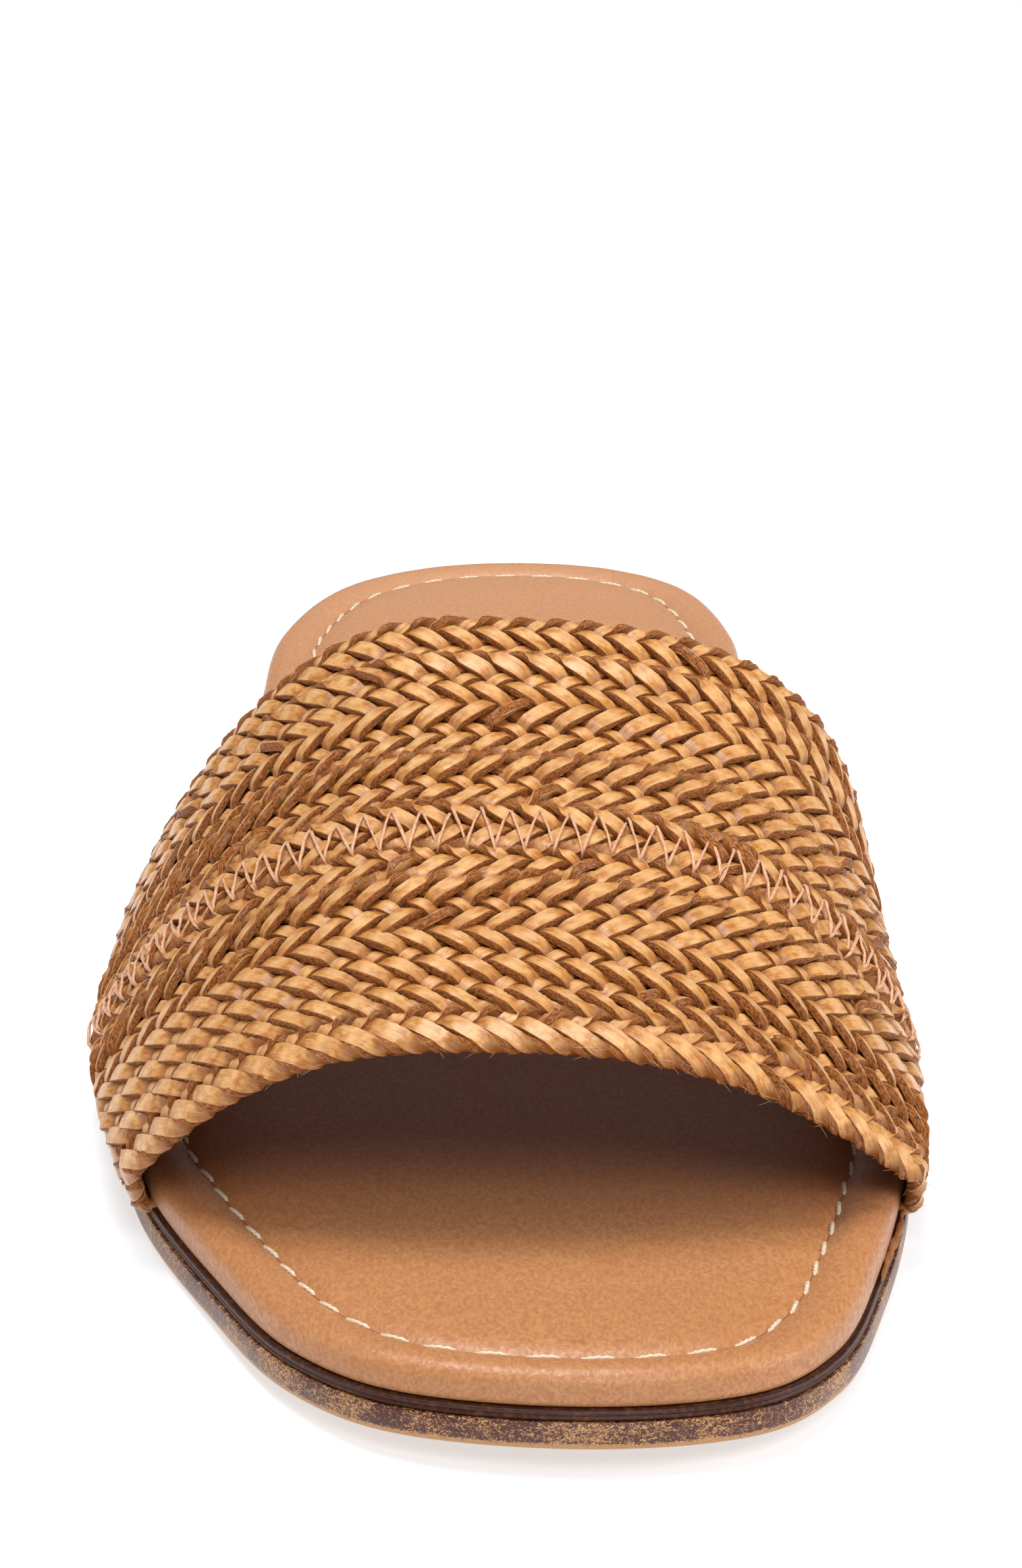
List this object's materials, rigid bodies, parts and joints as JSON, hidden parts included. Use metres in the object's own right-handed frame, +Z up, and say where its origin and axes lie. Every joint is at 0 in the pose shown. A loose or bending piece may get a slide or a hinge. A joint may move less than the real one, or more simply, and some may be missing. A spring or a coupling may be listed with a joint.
{
  "type": "slide sandal",
  "caption": "Flat slide sandal for the right foot: one wide plaited strap over a padded leather insole, with a thin welt, an outsole and a low heel.",
  "frame": {"origin": "on the floor, under the middle of the sandal's bounding box", "axes": "+Z up from the floor, +Y towards the heel, +X towards the inner (medial) side of the right foot"},
  "size_m": [0.097, 0.2552, 0.0556],
  "materials": {
    "outsole_rubber": "mottled dark brown on tan, low sheen",
    "welt_leather": "dark brown, glossy edge dressing",
    "insole_leather": "smooth tan leather, fine grain, satin",
    "plaited_raffia": "flat waxed caramel strands with matt fibrous cut edges"
  },
  "bodies": {
    "root": {"outsole": "outsole_rubber", "heel": "outsole_rubber", "welt": "welt_leather", "insole": "insole_leather", "upper": "plaited_raffia"}
  },
  "joints": []
}
